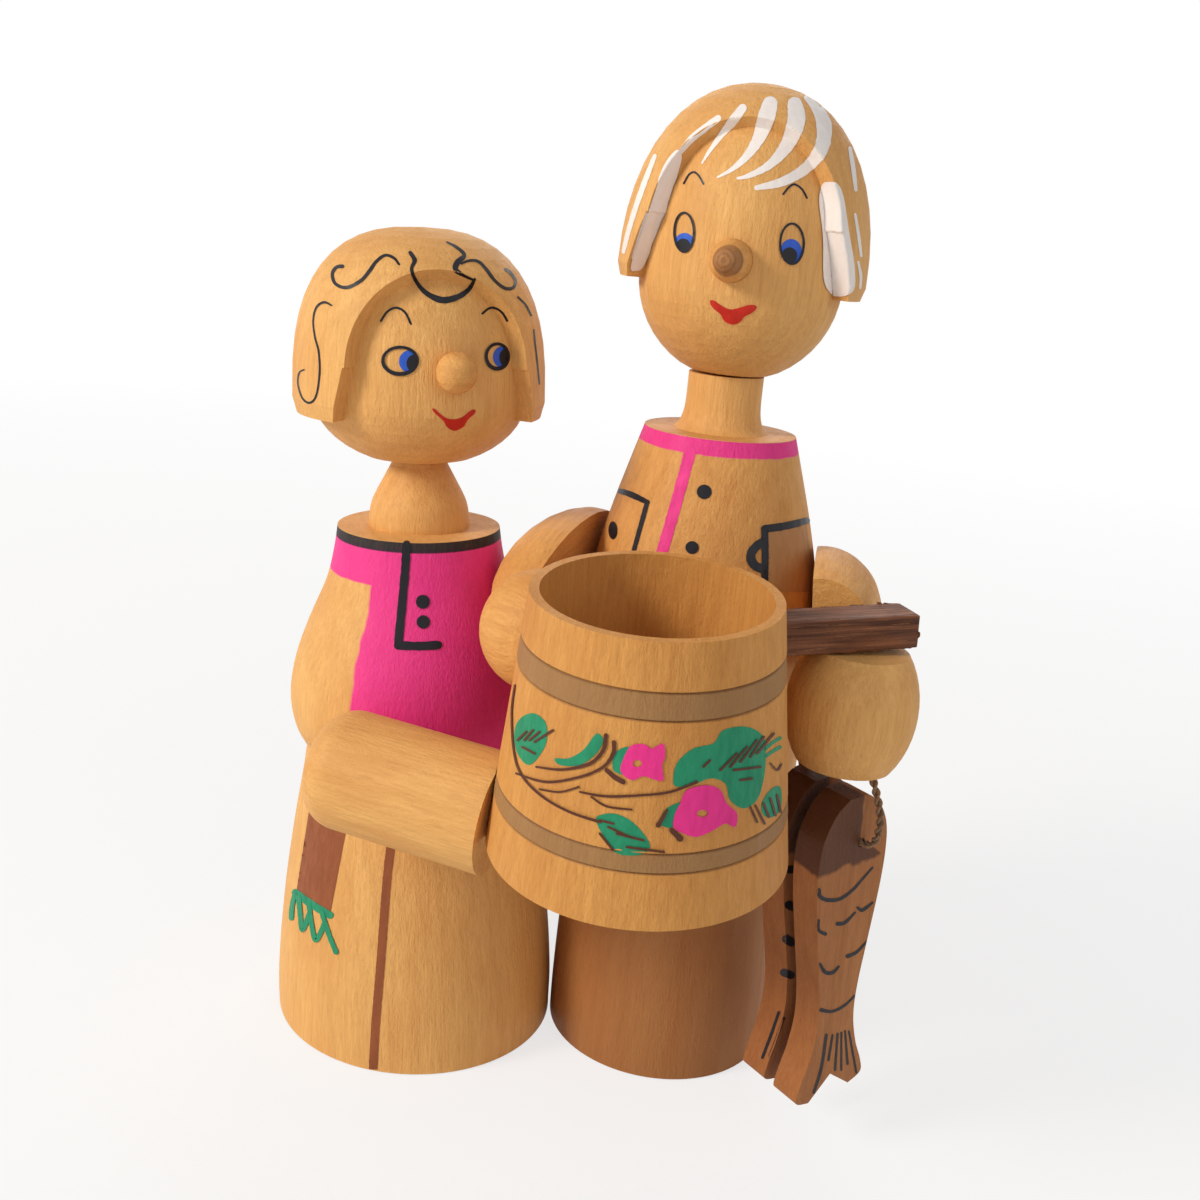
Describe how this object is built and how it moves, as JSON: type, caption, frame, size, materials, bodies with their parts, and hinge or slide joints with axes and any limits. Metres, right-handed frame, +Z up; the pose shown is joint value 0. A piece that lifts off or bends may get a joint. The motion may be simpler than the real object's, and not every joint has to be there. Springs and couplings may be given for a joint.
{
  "type": "painted wooden doll couple",
  "caption": "Turned and hand-painted wooden girl and boy dolls glued side by side, holding an open barrel cup, the boy carrying flat wooden fish on a string",
  "frame": {"origin": "on the table, at the middle of the girl's base", "axes": "+Z up; -Y the front, which both dolls face; +X from the girl towards the boy"},
  "size_m": [0.097, 0.0803, 0.1523],
  "materials": {
    "lime_wood": "fine sanded lime wood, oiled, partly painted",
    "boy_wood": "fine sanded lime wood, oiled, trousers stained, details painted",
    "barrel_wood": "turned lime wood with stained bands and painted flowers",
    "dowel_wood": "bare birch dowel",
    "stained_stick": "rough split stick, brown stain",
    "nose_wood": "turned peg with dark end grain",
    "fish_wood": "sawn flat wood, brown stain, painted scales",
    "string": "twisted two-ply string"
  },
  "bodies": {
    "couple": {"girl_body": "lime_wood", "girl_neck": "lime_wood", "girl_neck_dowel": "dowel_wood", "girl_arm": "lime_wood", "boy_body": "boy_wood", "boy_neck": "lime_wood", "boy_neck_dowel": "dowel_wood", "boy_right_upper_arm": "lime_wood", "boy_right_hand": "lime_wood", "boy_left_upper_arm": "lime_wood", "boy_left_fist": "lime_wood", "joining_pegs": "dowel_wood", "barrel": "barrel_wood", "barrel_handle": "stained_stick", "fish_string": "string"},
    "girl_head_turning": {"girl_head": "lime_wood", "girl_nose": "lime_wood"},
    "boy_head_turning": {"boy_head": "lime_wood", "boy_nose": "nose_wood"},
    "front_fish_hanging": {"front_fish": "fish_wood"},
    "rear_fish_hanging": {"rear_fish": "fish_wood"}
  },
  "joints": [
    {"name": "girl_head_turn", "type": "hinge", "parent": "couple", "child": "girl_head_turning", "pos_m": [-0.00524, 0, 0.09365], "axis": [-0.0558, 0, 0.9984], "continuous": true},
    {"name": "boy_head_turn", "type": "hinge", "parent": "couple", "child": "boy_head_turning", "pos_m": [0.04022, 0.00146, 0.11139], "axis": [-0.014, 0, 0.9999], "continuous": true},
    {"name": "front_fish_swing", "type": "hinge", "parent": "couple", "child": "front_fish_hanging", "pos_m": [0.06367, -0.02822, 0.0513], "axis": [0.6157, -0.788, 0], "range_deg": [-10, 10]},
    {"name": "rear_fish_swing", "type": "hinge", "parent": "couple", "child": "rear_fish_hanging", "pos_m": [0.05948, -0.02286, 0.0513], "axis": [0.6157, -0.788, 0], "range_deg": [-10, 10]}
  ]
}
